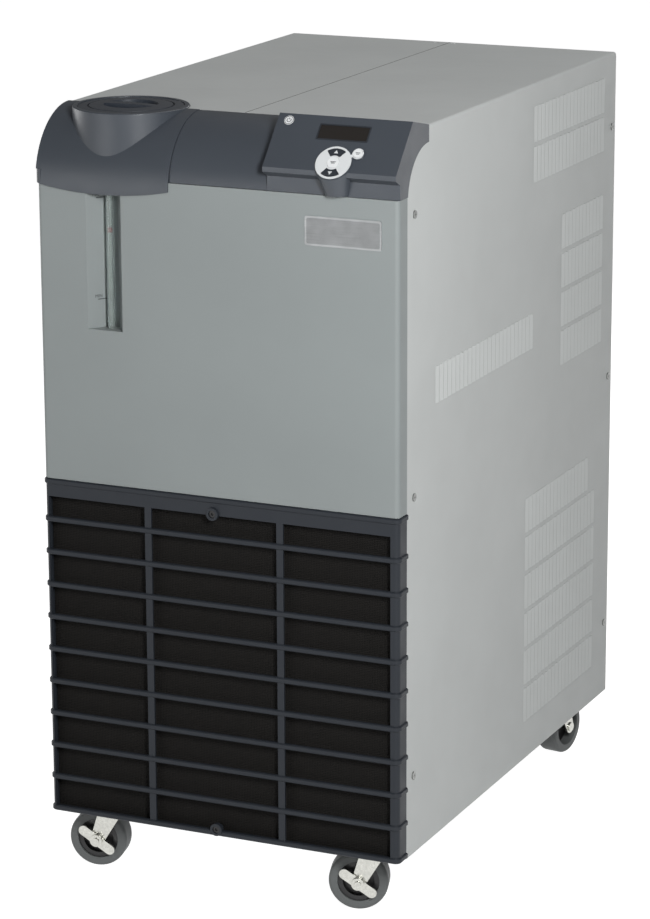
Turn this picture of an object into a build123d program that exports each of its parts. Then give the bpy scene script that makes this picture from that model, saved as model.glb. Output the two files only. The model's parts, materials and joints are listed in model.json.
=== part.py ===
from build123d import *
import os
from math import atan2, cos, degrees, hypot, radians, sin, tan

# Air-cooled recirculating chiller on four casters.
# Millimetres, +Z up, the front faces -Y. The origin lies on the ground under the middle of it.
# Setbacks are measured rearwards from the front, heights upwards from the lower edge of the panels.

# Cabinet
cabinet_width = 484
cabinet_depth = 745
cabinet_height = 908
ground_clearance = 85
sheet = 1.5
panel_corner = 4
seam_gap = 0.6
fit_gap = 0.3
running_gap = 0.05

# Front panel
front_depth = 25
front_sheet = 1.2
front_corner = 6
panel_bottom = 444.6

# Moulded head
head_bottom = 832
head_radius = 87
head_setback = 1
head_wall = 3
head_overhang = 1
end_radius = 64
end_centre = 824.5
cover_seam = -61
housing_seam = 70
cover_radius = 90.5
cover_top = 908.5
lip_proud = 2
lip_corner = 8
lip_top = 837
lip_end_bottom = 820.5
lip_middle_bottom = 811

# Filler collar and cap
reservoir_x = -151
collar_setback = 79
collar_radius = 72.5
collar_wall = 3
collar_rim = 910
collar_skirt = 848
collar_floor = 901
collar_round = 1.5
cap_radius = 65.5
cap_recess_gap = 1
cap_edge = 909
cap_crown = 912
cap_groove = 53
grip_radius = 34
grip_bar = 12
grip_floor = 897
plug_bottom = 893
plug_radius = 42

# Reservoir tank and level gauge
tank_width = 160
tank_setback = 30
tank_bottom = 605
tank_top = 862
tank_wall = 3
tank_corner = 15
neck_radius = 47
neck_top = 903
gasket_thickness = 2
recess_half_width = 24
recess_floor_half = 8
recess_depth = 24
recess_bottom = 641.3
gauge_setback = 17
gauge_radius = 4.75
gauge_bore = 3.25
gauge_bottom = 628
gauge_top = 840
float_gap = 0.1
float_height = 764.7
float_length = 5.9
elbow_radius = 6
elbow_drop = 12

# Control panel
lip_reach = 12
lip_height = 863
lip_depth = 6
lip_root = 850
ridge_setback = 39
ridge_height = 920
housing_back = 909.3
face_wall = 7
pad_x = 160
pad_rise = 11.4
pad_radius = 23.5
pad_height = 1.5
pad_foot_radius = 15
pad_foot_setback = 3
overlay_margin = 1
overlay_thickness = 0.8
key_inner = 10
key_outer = 19.5
key_half_angle = 36
enter_radius = 7.5
cancel_x = 187.7
cancel_rise = 26
cancel_radius = 5.8
bubble_radius = 8.2
bridge_width = 6
key_proud = 0.4
key_travel = 0.8
pocket_depth = 5
power_x = 85.3
power_rise = 66.8
power_radius = 6.2
display_x = 160.3
display_rise = 54.2
display_width = 64
display_height = 19.5
display_depth = 2

# Grille and filter
grille_bottom = 2
grille_top = 444
grille_wall = 3
rib_first = 5.3
rib_pitch = 42.9
rib_count = 10
rib_height = 7
rib_proud = 2
rib_chamfer = 1.3
band_bottom = 421
left_post = 5
right_post = 11
upright_width = 9
uprights = (-97, 83.6)
grille_screws = ((-7, 423), (-7, 10))
boss_radius = 8
boss_proud = 1.2
grille_screw_radius = 2
grille_head_radius = 4.5
filter_thickness = 12
filter_height = 431

# Louvres in the side panels
louvre_pitch = 13.2
louvre_height = 46
louvre_row_pitch = 52.6
louvre_reach = 1.8
louvre_ramp = 7
louvre_slot = 2.2
# First setback, lowest height, columns, rows, columns in the top row
right_louvres = (
    (439, 780, 20, 2, 20),
    (545, 516, 12, 4, 12),
    (113, 562, 25, 1, 25),
    (422, 53, 20, 6, 18),
)
left_louvres = (
    (422, 53, 20, 3, 20),
    (439, 780, 20, 1, 20),
)

# Chassis and fasteners
pan_height = 16
frame_sheet = 2
pan_flange = 13
post_leg = 30
post_top = 822
deck_height = 446
deck_flange = 32
screw_setback = 46
screw_rear_margin = 13
screw_heights = (103, 460, 808)
screw_head = 5
screw_head_height = 1.6
screw_radius = 1.8
screw_length = 6

# Casters
swivel_x = 184
swivel_inset = 62
wheel_radius = 38
wheel_width = 31
tyre_round = 5
hub_radius = 26.5
hub_boss = 10
hub_face = 20
trail = 20
axle_radius = 4
axle_head = 6.5
fork_sheet = 2.5
fork_gap = 17.2
fork_boss = 9
crown_bottom = 86.5
raceway_radius = 24
kingpin_radius = 8
kingpin_head = 11
plate_length = 70
plate_width = 60
plate_thickness = 3
plate_bolt_x = 28
plate_bolt_y = 22
bolt_head = 5
bolt_head_height = 4
bolt_radius = 3
lever_length = 55
lever_width = 13
lever_thickness = 3
lever_boss = 8
lever_tilt = -35
# Turn of each caster about its kingpin, and whether it has a brake
casters = {
    "front_left": (12, True),
    "front_right": (18, True),
    "rear_left": (-75, False),
    "rear_right": (261, False),
}

# Condenser fan
coil_half_width = 215
coil_setback = 31
coil_depth = 44
coil_top = 430
shroud_depth = 35
fan_height = 225
fan_radius = 142
fan_hole = 150
fan_hub = 45
fan_setback = 92
fan_depth = 40
fan_blade_count = 5
fan_blade_pitch = 28
shaft_radius = 6
motor_setback = 150
motor_radius = 60
motor_length = 80
arm_reach = 185
arm_width = 20
arm_thickness = 6

# Refrigeration and coolant parts
compressor_x = 130
compressor_setback = 560
compressor_radius = 82
compressor_bottom = 34
compressor_top = 400
compressor_foot = 6
mount_spread = (72, 60)
mount_radius = 12
evaporator_width = 60
evaporator_depth = 120
evaporator_top = 740
evaporator_front = 500
pump_x = -120
pump_height = 95
pump_front = 345
pump_length = 55
pump_radius = 55
pump_port = 15
pump_motor_radius = 62
pump_motor_length = 180
hose_radius = 12
hose_bend = 30
pipe_radius = 5
pipe_bend = 10
hole_clearance = 2

# Rear connections
port_bore = 15
port_wall = 2.7
port_hex = 22
port_hex_depth = 12
port_reach = 22
port_height = 560
outlet_x = 140
inlet_x = 60
gland_x = -170
gland_radius = 10.7
gland_hex = 14
gland_depth = 20
breaker_x = -90
breaker_width = 45.4
breaker_height = 29.4
breaker_depth = 45
breaker_flange = 4
breaker_proud = 2.5
rocker_width = 19.4
rocker_height = 19
rocker_throw = 8
rocker_setback = 3
rocker_pin = 2
exhaust_rows = 14
exhaust_slot = 7
exhaust_pitch = 22
exhaust_bottom = 80
exhaust_width = 150

# Derived places
half_width = cabinet_width / 2
head_edge = half_width + head_overhang
head_depth = head_setback + head_radius
cover_front = head_depth - cover_radius
cover_right = cover_seam - seam_gap / 2
center_left = cover_seam + seam_gap / 2
center_right = housing_seam - seam_gap / 2
housing_left = housing_seam + seam_gap / 2
lip_edge = half_width + lip_proud
slope = atan2(ridge_height - lip_height, ridge_setback + lip_reach)
front_reach = lip_reach + (pad_radius - pad_rise) * cos(slope)
front_reach += pad_height * sin(slope)
front_y = -(cabinet_depth + port_reach - front_reach) / 2
pan_top = pan_height + frame_sheet
deck_top = deck_height + frame_sheet
inner_half = half_width - sheet
frame_half = inner_half - frame_sheet
frame_front = front_depth + frame_sheet
frame_back = cabinet_depth - sheet - frame_sheet
tank_left = reservoir_x - tank_width / 2
tank_right = reservoir_x + tank_width / 2
tank_back = tank_setback + tank_width
axle_height = wheel_radius
plate_top = ground_clearance + pan_height
plate_bottom = plate_top - plate_thickness
coil_back = coil_setback + coil_depth
shroud_back = coil_back + shroud_depth
compressor_left = compressor_x - compressor_radius
pump_back = pump_front + pump_length
evaporator_left = compressor_x - evaporator_width / 2
evaporator_right = compressor_x + evaporator_width / 2
evaporator_back = evaporator_front + evaporator_depth
port_inner = cabinet_depth - port_reach
suction_x = compressor_left - 18
suction_setback = evaporator_front + 20
side_run = coil_half_width + 11
liquid_setback = evaporator_back - 20
suction_back = pump_front - 75
tank_middle = tank_setback + tank_width / 2
pump_middle = pump_front + pump_length / 2
pump_outlet = pump_height + pump_radius + 15
rear_screw_x = frame_half - post_leg / 2

os.makedirs("parts", exist_ok=True)


def front_view(setback):
    """Plane parallel to the front: local axes X and height, extruding forwards."""
    return Plane((0, front_y + setback, ground_clearance), (1, 0, 0), (0, -1, 0))


def side_view(x):
    """Plane parallel to the sides: local axes setback and height, extruding to the right."""
    return Plane((x, front_y, ground_clearance), (0, 1, 0), (1, 0, 0))


def top_view(height):
    """Horizontal plane: local axes X and setback, extruding upwards."""
    return Plane((0, front_y, ground_clearance + height), (1, 0, 0), (0, 0, 1))


def slope_view(lift=0):
    """Sloping control face: local axes X and distance up from its lower edge."""
    corner = (0, front_y - lip_reach, ground_clearance + lip_height)
    return Plane(corner, (1, 0, 0), (0, -sin(slope), cos(slope))).offset(lift)


def save(shape, name):
    shape.label = name
    export_step(shape, f"parts/{name}.step")


def span(x_range, y_range, mode=Mode.ADD):
    """Rectangle between two limits along each axis of a sketch."""
    with Locations(((x_range[0] + x_range[1]) / 2, (y_range[0] + y_range[1]) / 2)):
        Rectangle(x_range[1] - x_range[0], y_range[1] - y_range[0], mode=mode)


def block(x_range, setbacks, heights, mode=Mode.ADD):
    """Plain bar or plate between two limits along each axis of the cabinet."""
    with BuildSketch(top_view(heights[0])) as plan:
        span(x_range, setbacks)
    extrude(plan.sketch, amount=heights[1] - heights[0], mode=mode)


def post(plane, places, radius, amount, mode=Mode.ADD):
    """Round posts, pins or holes that rise from a plane."""
    with BuildSketch(plane) as circles:
        with Locations(*places):
            Circle(radius)
    extrude(circles.sketch, amount=amount, mode=mode)


def tube(points, radius, bend):
    """Round bar along straight runs joined by bends."""
    places = [(x, front_y + setback, ground_clearance + height) for x, setback, height in points]
    with BuildLine() as route:
        FilletPolyline(*places, radius=bend)
    with BuildSketch(Plane(route.line @ 0, z_dir=route.line % 0)) as section:
        Circle(radius)
    sweep(section.sketch, path=route.line)


def side_screws():
    """Setback and height of the screws in each side panel."""
    for setback in (screw_setback, cabinet_depth - screw_rear_margin):
        for height in screw_heights:
            yield setback, height


def rear_screws():
    """X and height of the screws in the rear panel."""
    for x in (-rear_screw_x, rear_screw_x):
        for height in screw_heights:
            yield x, height


# Side panels, each wrapped over its half of the top
def louvre_row(side, first, height, count):
    """Row of pressed louvres: hoods that ramp out of the sheet, each open at its rear edge."""
    face = side * half_width
    places = [(face, first + column * louvre_pitch) for column in range(count)]
    with BuildSketch(top_view(height)) as hoods:
        with Locations(*places):
            Polygon(
                (0, 0),
                (side * louvre_reach, louvre_ramp),
                (-side * sheet, louvre_ramp),
                (-side * sheet, 0),
                align=None,
            )
    extrude(hoods.sketch, amount=louvre_height)
    with BuildSketch(top_view(height)) as slots:
        with Locations(*places):
            with Locations((-side * sheet / 2, louvre_ramp + louvre_slot / 2)):
                Rectangle(sheet, louvre_slot)
    extrude(slots.sketch, amount=louvre_height, mode=Mode.SUBTRACT)


def wrap_panel(side, groups):
    outer = side * half_width
    inner = side * inner_half
    seam = side * seam_gap / 2
    roof = cabinet_height - sheet
    with BuildPart() as panel:
        with BuildSketch(front_view(cabinet_depth)):
            with BuildLine():
                Polyline(
                    (outer, 0),
                    (outer, cabinet_height),
                    (seam, cabinet_height),
                    (seam, roof),
                    (inner, roof),
                    (inner, 0),
                    close=True,
                )
            make_face()
        extrude(amount=cabinet_depth - front_depth)
        outside = panel.edges().filter_by(Axis.Y).group_by(Axis.Z)[-1].sort_by(Axis.X)
        fillet(outside[-1 if side > 0 else 0], panel_corner)
        inside = panel.edges().filter_by(Axis.Y).group_by(Axis.Z)[-2].sort_by(Axis.X)
        fillet(inside[-1 if side > 0 else 0], panel_corner - sheet)
        # Notch for the moulded head
        with BuildSketch(side_view(-head_edge)):
            span((front_depth - 1, head_depth + seam_gap), (end_centre, cabinet_height + 1))
            with Locations((head_depth, end_centre)):
                Circle(end_radius - seam_gap, mode=Mode.SUBTRACT)
        extrude(amount=2 * head_edge, mode=Mode.SUBTRACT)
        if side < 0:
            well = collar_radius + seam_gap
            post(top_view(roof - 1), [(reservoir_x, collar_setback)], well, 3, Mode.SUBTRACT)
        # Screw holes, and a lifting slot at the rear edge of the top
        holes = list(side_screws())
        post(side_view(inner - 5), holes, screw_radius + running_gap, 10, Mode.SUBTRACT)
        slot_middle = 8 if side > 0 else -17
        slot_x = (slot_middle - 5, slot_middle + 5)
        slot_depth = (cabinet_depth - 12, cabinet_depth - 9)
        block(slot_x, slot_depth, (roof - 1, cabinet_height + 1), Mode.SUBTRACT)
        for first, lowest, columns, rows, top_columns in groups:
            for row in range(rows):
                count = top_columns if row == rows - 1 else columns
                louvre_row(side, first, lowest + row * louvre_row_pitch, count)
    return panel.part


save(wrap_panel(1, right_louvres), "right_panel")
save(wrap_panel(-1, left_louvres), "left_panel")

# Rear panel with exhaust slots and openings for the connections
panel_hole = screw_radius + running_gap
with BuildPart() as rear_panel:
    with BuildSketch(front_view(cabinet_depth)):
        span(
            (fit_gap - inner_half, inner_half - fit_gap),
            (0, cabinet_height - sheet - fit_gap),
        )
        fillet(vertices().group_by(Axis.Y)[-1], panel_corner)
        with Locations((0, exhaust_bottom + exhaust_rows * exhaust_pitch / 2)):
            with GridLocations(exhaust_width + 20, exhaust_pitch, 2, exhaust_rows):
                Rectangle(exhaust_width, exhaust_slot, mode=Mode.SUBTRACT)
        with Locations((outlet_x, port_height), (inlet_x, port_height)):
            Circle(port_bore + port_wall + fit_gap, mode=Mode.SUBTRACT)
        with Locations((gland_x, port_height)):
            Circle(gland_radius + fit_gap, mode=Mode.SUBTRACT)
        with Locations((breaker_x, port_height)):
            Rectangle(
                breaker_width + 2 * fit_gap,
                breaker_height + 2 * fit_gap,
                mode=Mode.SUBTRACT,
            )
        with Locations(*rear_screws()):
            Circle(panel_hole, mode=Mode.SUBTRACT)
    extrude(amount=sheet)
save(rear_panel.part, "rear_panel")


# Front panel: a shallow pan with a pressed recess for the level gauge
def pan_plan(margin):
    """Plan of a shallow pan with rounded front corners; the margin shrinks it on three sides."""
    side = half_width - margin
    with BuildSketch(Plane.XY) as plan:
        span((-side, side), (margin, front_depth))
        fillet(plan.vertices().group_by(Axis.Y)[0], front_corner - margin)
    return plan.sketch


def recess_plan(skin):
    """Plan of the gauge recess; the skin grows it by the sheet thickness."""
    with BuildSketch(Plane.XY) as plan:
        with Locations((reservoir_x, 0)):
            Polygon(
                (-recess_half_width - skin, 0),
                (-recess_floor_half - skin, recess_depth + skin),
                (recess_floor_half + skin, recess_depth + skin),
                (recess_half_width + skin, 0),
                align=None,
            )
    return plan.sketch


panel_top = head_bottom - seam_gap
panel_height = panel_top - panel_bottom
with BuildPart() as front_panel:
    with BuildSketch(top_view(panel_bottom)):
        add(pan_plan(0))
    extrude(amount=panel_height)
    with BuildSketch(top_view(panel_bottom + front_sheet)):
        add(pan_plan(front_sheet))
    extrude(amount=panel_height - 2 * front_sheet, mode=Mode.SUBTRACT)
    with BuildSketch(top_view(recess_bottom - front_sheet)):
        add(recess_plan(front_sheet))
    extrude(amount=panel_top - recess_bottom + front_sheet)
    with BuildSketch(top_view(recess_bottom)):
        add(recess_plan(0))
    extrude(amount=panel_top - recess_bottom, mode=Mode.SUBTRACT)
    with BuildSketch(top_view(recess_bottom - front_sheet)):
        with Locations((reservoir_x, gauge_setback)):
            Circle(gauge_radius + fit_gap)
    extrude(amount=front_sheet, mode=Mode.SUBTRACT)
save(front_panel.part, "front_panel")


# Moulded head in three sections
def head_end(radius, top):
    """Sketch of the head's end wall, which fills the notch in the side panel."""
    with Locations((head_depth, top - radius)):
        Circle(radius)
    with Locations((head_depth, end_centre)):
        Circle(end_radius, mode=Mode.SUBTRACT)
    span((cover_front, head_depth), (head_bottom, top + 1), Mode.INTERSECT)


with BuildPart() as filler_collar:
    post(top_view(collar_skirt), [(reservoir_x, collar_setback)], collar_radius, collar_rim - collar_skirt)
    fillet(filler_collar.edges().group_by(Axis.Z)[-1], collar_round)
    axis_place = [(reservoir_x, collar_setback)]
    post(
        top_view(collar_skirt),
        axis_place,
        collar_radius - collar_wall,
        collar_floor - collar_wall - collar_skirt,
        Mode.SUBTRACT,
    )
    post(
        top_view(collar_floor),
        axis_place,
        cap_radius + cap_recess_gap,
        collar_rim - collar_floor,
        Mode.SUBTRACT,
    )
    post(
        top_view(collar_skirt),
        axis_place,
        neck_radius + cap_recess_gap,
        collar_rim - collar_skirt,
        Mode.SUBTRACT,
    )
    # The skirt stops high up behind the quarter round, clear of the tank
    block(
        (reservoir_x - collar_radius, reservoir_x + collar_radius),
        (tank_setback - 2, collar_setback + collar_radius),
        (collar_skirt, cabinet_height - 25),
        Mode.SUBTRACT,
    )

with BuildPart() as reservoir_bezel:
    with BuildSketch(side_view(-head_edge)):
        with Locations((head_depth, cover_top - cover_radius)):
            Circle(cover_radius)
        span((cover_front, head_depth), (lip_middle_bottom, cover_top - cover_radius))
        with Locations((head_depth, cover_top - cover_radius)):
            Circle(cover_radius - head_wall, mode=Mode.SUBTRACT)
        span((-fit_gap, head_depth), (lip_middle_bottom, head_bottom), Mode.SUBTRACT)
        span((cover_front, head_depth), (lip_middle_bottom, cover_top), Mode.INTERSECT)
    extrude(amount=head_edge + cover_right)
    with BuildSketch(side_view(-head_edge)):
        head_end(cover_radius, cover_top)
    extrude(amount=head_wall)
    # Drip lip round the left corner of the front panel
    corner_x = lip_corner - lip_edge
    corner_back = cover_front + lip_corner
    with BuildSketch(top_view(lip_middle_bottom)):
        span((-lip_edge - 1, corner_x), (cover_front - 1, corner_back))
        with Locations((corner_x, corner_back)):
            Circle(lip_corner, mode=Mode.SUBTRACT)
    extrude(amount=lip_top - lip_middle_bottom, mode=Mode.SUBTRACT)
    with BuildSketch(top_view(lip_middle_bottom)):
        span((-lip_edge, corner_x), (cover_front, front_depth - seam_gap))
        fillet(vertices().group_by(Axis.X)[0].sort_by(Axis.Y)[0], lip_corner - 0.01)
        span((-half_width - fit_gap, corner_x), (-fit_gap, front_depth), Mode.SUBTRACT)
    extrude(amount=lip_top - lip_middle_bottom)
    with BuildSketch(front_view(front_depth)):
        with BuildLine():
            edge = ThreePointArc(
                (-lip_edge - 1, lip_end_bottom),
                ((cover_right - lip_edge) / 2, lip_middle_bottom),
                (cover_right + 1, lip_end_bottom),
            )
            Polyline(
                edge @ 0,
                (-lip_edge - 1, lip_middle_bottom - 1),
                (cover_right + 1, lip_middle_bottom - 1),
                edge @ 1,
            )
        make_face()
    extrude(amount=front_depth + lip_reach, mode=Mode.SUBTRACT)
    # Filler collar that grows out of the quarter round
    post(
        top_view(collar_skirt),
        [(reservoir_x, collar_setback)],
        collar_radius - collar_wall / 2,
        collar_rim - collar_skirt,
        Mode.SUBTRACT,
    )
    add(filler_collar.part)
save(reservoir_bezel.part, "reservoir_bezel")

with BuildPart() as center_bezel:
    with BuildSketch(side_view(center_left)):
        with Locations((head_depth, cabinet_height - head_radius)):
            Circle(head_radius)
            Circle(head_radius - head_wall, mode=Mode.SUBTRACT)
        span((head_setback, head_depth), (head_bottom, cabinet_height), Mode.INTERSECT)
        span((head_setback + 2, front_depth), (head_bottom, head_bottom + head_wall))
    extrude(amount=center_right - center_left)
save(center_bezel.part, "center_bezel")


# Control housing: a wedge with a sloping face above an undercut lip
def housing_outline(back):
    """Sketch of the housing's section, drawn as far back as asked."""
    fall = (ridge_height - housing_back) / (head_depth - ridge_setback)
    Polygon(
        (back, head_bottom),
        (head_setback, head_bottom),
        (head_setback, lip_root),
        (-lip_reach, lip_height - lip_depth),
        (-lip_reach, lip_height),
        (ridge_setback, ridge_height),
        (back, ridge_height - fall * (back - ridge_setback)),
        align=None,
    )


def pad_sketch(plane, grow):
    """Outline of the keypad with its small side bubble."""
    angle = degrees(atan2(cancel_rise - pad_rise, cancel_x - pad_x))
    length = hypot(cancel_rise - pad_rise, cancel_x - pad_x)
    with BuildSketch(plane) as outline:
        with Locations((pad_x, pad_rise)):
            Circle(pad_radius + grow)
        with Locations((cancel_x, cancel_rise)):
            Circle(bubble_radius + grow)
        with Locations(((pad_x + cancel_x) / 2, (pad_rise + cancel_rise) / 2)):
            Rectangle(length, bridge_width + 2 * grow, rotation=angle)
    return outline.sketch


def arc_key(plane, direction, grow):
    """Curved key above or below the centre disc."""
    with BuildSketch(plane) as outline:
        with Locations((pad_x, pad_rise)):
            Circle(key_outer + grow)
            Circle(key_inner - grow, mode=Mode.SUBTRACT)
            spread = radians(key_half_angle) + grow / key_inner
            rise = direction * 2 * key_outer
            Polygon(
                (0, 0),
                (rise * tan(spread), rise),
                (-rise * tan(spread), rise),
                align=None,
                mode=Mode.INTERSECT,
            )
    return outline.sketch


def key_sketches(plane, grow):
    """Outlines of the four keys by name."""
    with BuildSketch(plane) as enter:
        with Locations((pad_x, pad_rise)):
            Circle(enter_radius + grow)
    with BuildSketch(plane) as cancel:
        with Locations((cancel_x, cancel_rise)):
            Circle(cancel_radius + grow)
    return {
        "up_key": arc_key(plane, 1, grow),
        "down_key": arc_key(plane, -1, grow),
        "enter_key": enter.sketch,
        "cancel_key": cancel.sketch,
    }


with BuildPart() as control_housing:
    with BuildSketch(side_view(housing_left)):
        housing_outline(head_depth)
    extrude(amount=head_edge - housing_left)
    with BuildSketch(side_view(housing_left + head_wall)):
        housing_outline(head_depth + 2 * head_wall)
        offset(amount=-head_wall, kind=Kind.INTERSECTION)
        face_middle = ((ridge_setback - lip_reach) / 2, (ridge_height + lip_height) / 2)
        with Locations(face_middle):
            Rectangle(120, 2 * face_wall, rotation=degrees(slope), mode=Mode.SUBTRACT)
        span((front_depth, head_depth + 1), (head_bottom - 1, head_bottom + 2 * head_wall))
    extrude(amount=head_edge - housing_left - 2 * head_wall, mode=Mode.SUBTRACT)
    # The end wall shows only in the notch of the side panel
    with BuildSketch(side_view(inner_half - head_wall)):
        with Locations((head_depth, end_centre)):
            Circle(end_radius)
    extrude(amount=2 * head_wall + sheet, mode=Mode.SUBTRACT)
    # Keypad pedestal, lofted from the sloping face down to the lower edge
    with BuildSketch(slope_view()):
        with Locations((pad_x, pad_rise)):
            Circle(pad_radius - fit_gap)
    with BuildSketch(top_view(head_bottom + 1)):
        with Locations((pad_x + 2, pad_foot_setback)):
            Circle(pad_foot_radius)
    loft()
    extrude(pad_sketch(slope_view(), 0), amount=pad_height)
    for outline in key_sketches(slope_view(pad_height), fit_gap).values():
        extrude(outline, amount=-pocket_depth, mode=Mode.SUBTRACT)
    with BuildSketch(slope_view()):
        with Locations((power_x, power_rise)):
            Circle(power_radius + fit_gap)
    extrude(amount=-pocket_depth, mode=Mode.SUBTRACT)
    with BuildSketch(slope_view()):
        with Locations((display_x, display_rise)):
            Rectangle(display_width, display_height)
    extrude(amount=-display_depth, mode=Mode.SUBTRACT)
save(control_housing.part, "control_housing")

with BuildPart() as display_window:
    with BuildSketch(slope_view(-display_depth)):
        with Locations((display_x, display_rise)):
            Rectangle(display_width - 2 * fit_gap, display_height - 2 * fit_gap)
    extrude(amount=display_depth - fit_gap)
save(display_window.part, "display_window")

with BuildPart() as keypad_overlay:
    extrude(pad_sketch(slope_view(pad_height), -overlay_margin), amount=overlay_thickness)
    for outline in key_sketches(slope_view(pad_height), fit_gap).values():
        extrude(outline, amount=overlay_thickness, mode=Mode.SUBTRACT)
save(keypad_overlay.part, "keypad_overlay")

key_foot = pad_height - pocket_depth + key_travel + fit_gap
key_length = pad_height + overlay_thickness + key_proud - key_foot
for key_name, outline in key_sketches(slope_view(key_foot), 0).items():
    with BuildPart() as key:
        extrude(outline, amount=key_length)
    save(key.part, key_name)

with BuildPart() as power_button:
    with BuildSketch(slope_view(key_travel + fit_gap - pocket_depth)):
        with Locations((power_x, power_rise)):
            Circle(power_radius)
    extrude(amount=pocket_depth - key_travel - fit_gap + key_proud)
save(power_button.part, "power_button")

# Filler cap, turned, with a grip bar between two finger pockets
cap_plane = Plane(
    (reservoir_x, front_y + collar_setback, ground_clearance),
    (1, 0, 0),
    (0, -1, 0),
)
cap_seat = neck_top + gasket_thickness
with BuildPart() as reservoir_cap:
    with BuildSketch(cap_plane):
        with BuildLine():
            ThreePointArc(
                (0, cap_crown),
                (cap_radius / 2, cap_crown - (cap_crown - cap_edge) / 4),
                (cap_radius, cap_edge),
            )
            Polyline(
                (cap_radius, cap_edge),
                (cap_radius, cap_seat),
                (plug_radius, cap_seat),
                (plug_radius, plug_bottom),
                (0, plug_bottom),
                (0, cap_crown),
            )
        make_face()
    revolve(axis=Axis(cap_plane.origin, (0, 0, 1)))
    with BuildSketch(top_view(grip_floor)):
        with Locations((reservoir_x, collar_setback)):
            Circle(grip_radius)
            Rectangle(2 * grip_radius, grip_bar, mode=Mode.SUBTRACT)
    extrude(amount=cap_crown - grip_floor, mode=Mode.SUBTRACT)
    with BuildSketch(top_view(cap_edge - 1)):
        with Locations((reservoir_x, collar_setback)):
            Circle(cap_groove + 1)
            Circle(cap_groove - 1, mode=Mode.SUBTRACT)
    extrude(amount=cap_crown - cap_edge + 1, mode=Mode.SUBTRACT)
save(reservoir_cap.part, "reservoir_cap")

with BuildPart() as cap_gasket:
    with BuildSketch(top_view(neck_top)):
        with Locations((reservoir_x, collar_setback)):
            Circle(neck_radius)
            Circle(plug_radius + running_gap, mode=Mode.SUBTRACT)
    extrude(amount=gasket_thickness)
save(cap_gasket.part, "cap_gasket")

# Reservoir tank with its filler neck
with BuildPart() as reservoir_tank:
    with BuildSketch(top_view(tank_bottom)):
        with Locations((reservoir_x, (tank_setback + tank_back) / 2)):
            RectangleRounded(tank_width, tank_width, tank_corner)
    extrude(amount=tank_top - tank_bottom)
    post(top_view(tank_top), [(reservoir_x, collar_setback)], neck_radius, neck_top - tank_top)
    with BuildSketch(top_view(tank_bottom + tank_wall)):
        with Locations((reservoir_x, (tank_setback + tank_back) / 2)):
            RectangleRounded(
                tank_width - 2 * tank_wall,
                tank_width - 2 * tank_wall,
                tank_corner - tank_wall,
            )
    extrude(amount=tank_top - tank_bottom - 2 * tank_wall, mode=Mode.SUBTRACT)
    post(
        top_view(tank_top - tank_wall),
        [(reservoir_x, collar_setback)],
        neck_radius - tank_wall,
        neck_top - tank_top + tank_wall,
        Mode.SUBTRACT,
    )
save(reservoir_tank.part, "reservoir_tank")

# Level gauge
gauge_place = [(reservoir_x, gauge_setback)]
with BuildPart() as sight_tube:
    post(top_view(gauge_bottom), gauge_place, gauge_radius, gauge_top - gauge_bottom)
    post(top_view(gauge_bottom), gauge_place, gauge_bore, gauge_top - gauge_bottom, Mode.SUBTRACT)
save(sight_tube.part, "sight_tube")

with BuildPart() as sight_fittings:
    for end, outward in ((gauge_bottom, -1), (gauge_top, 1)):
        turn = end + outward * elbow_drop
        tube(
            [
                (reservoir_x, gauge_setback, end),
                (reservoir_x, gauge_setback, turn),
                (reservoir_x, tank_setback, turn),
            ],
            elbow_radius,
            elbow_radius + 1,
        )
save(sight_fittings.part, "sight_fittings")

with BuildPart() as sight_float:
    post(
        top_view(float_height - float_length / 2),
        gauge_place,
        gauge_bore - float_gap,
        float_length,
    )
save(sight_float.part, "sight_float")


# Grille: a pan with open rows between wrapped ribs
def rib_shape():
    """One rib that runs round the front and both sides of the grille."""
    with BuildPart() as rib:
        with BuildSketch(top_view(-rib_height / 2)) as outline:
            span((-half_width - rib_proud, half_width + rib_proud), (-rib_proud, front_depth))
            fillet(outline.vertices().group_by(Axis.Y)[0], front_corner + rib_proud)
        extrude(amount=rib_height)
        levels = rib.edges().filter_by(Axis.Z, reverse=True).group_by(Axis.Z)
        rims = [edge for edge in levels[0] + levels[-1] if (edge @ 0.5).Y < front_y + front_depth - 1]
        chamfer(rims, rib_chamfer)
        with BuildSketch(top_view(-rib_height / 2)):
            span((grille_wall - half_width, half_width - grille_wall), (grille_wall, front_depth))
        extrude(amount=rib_height, mode=Mode.SUBTRACT)
    return rib.part


rib_heights = [rib_first + index * rib_pitch for index in range(rib_count)]
rib_heights.append(grille_top - rib_height / 2)
columns = (
    (left_post - half_width, uprights[0] - upright_width / 2),
    (uprights[0] + upright_width / 2, uprights[1] - upright_width / 2),
    (uprights[1] + upright_width / 2, half_width - right_post),
)
with BuildPart() as grille:
    with BuildSketch(top_view(grille_bottom)):
        add(pan_plan(0))
    extrude(amount=grille_top - grille_bottom)
    with BuildSketch(top_view(grille_bottom + grille_wall)):
        add(pan_plan(grille_wall))
    extrude(amount=grille_top - grille_bottom - 2 * grille_wall, mode=Mode.SUBTRACT)
    with BuildSketch(front_view(grille_wall)):
        for index in range(rib_count):
            low = rib_heights[index] + rib_height / 2
            high = min(rib_heights[index + 1] - rib_height / 2, band_bottom)
            for column in columns:
                span(column, (low, high))
    extrude(amount=grille_wall, mode=Mode.SUBTRACT)
    with Locations(*[(0, 0, height) for height in rib_heights]):
        add(rib_shape())
    post(front_view(grille_wall), grille_screws, boss_radius, grille_wall + rib_proud + boss_proud)
    post(
        front_view(grille_wall / 2),
        grille_screws,
        grille_head_radius + fit_gap,
        front_depth,
        Mode.SUBTRACT,
    )
    post(
        front_view(front_depth),
        grille_screws,
        grille_screw_radius + fit_gap,
        front_depth,
        Mode.SUBTRACT,
    )
save(grille.part, "grille")

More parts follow.
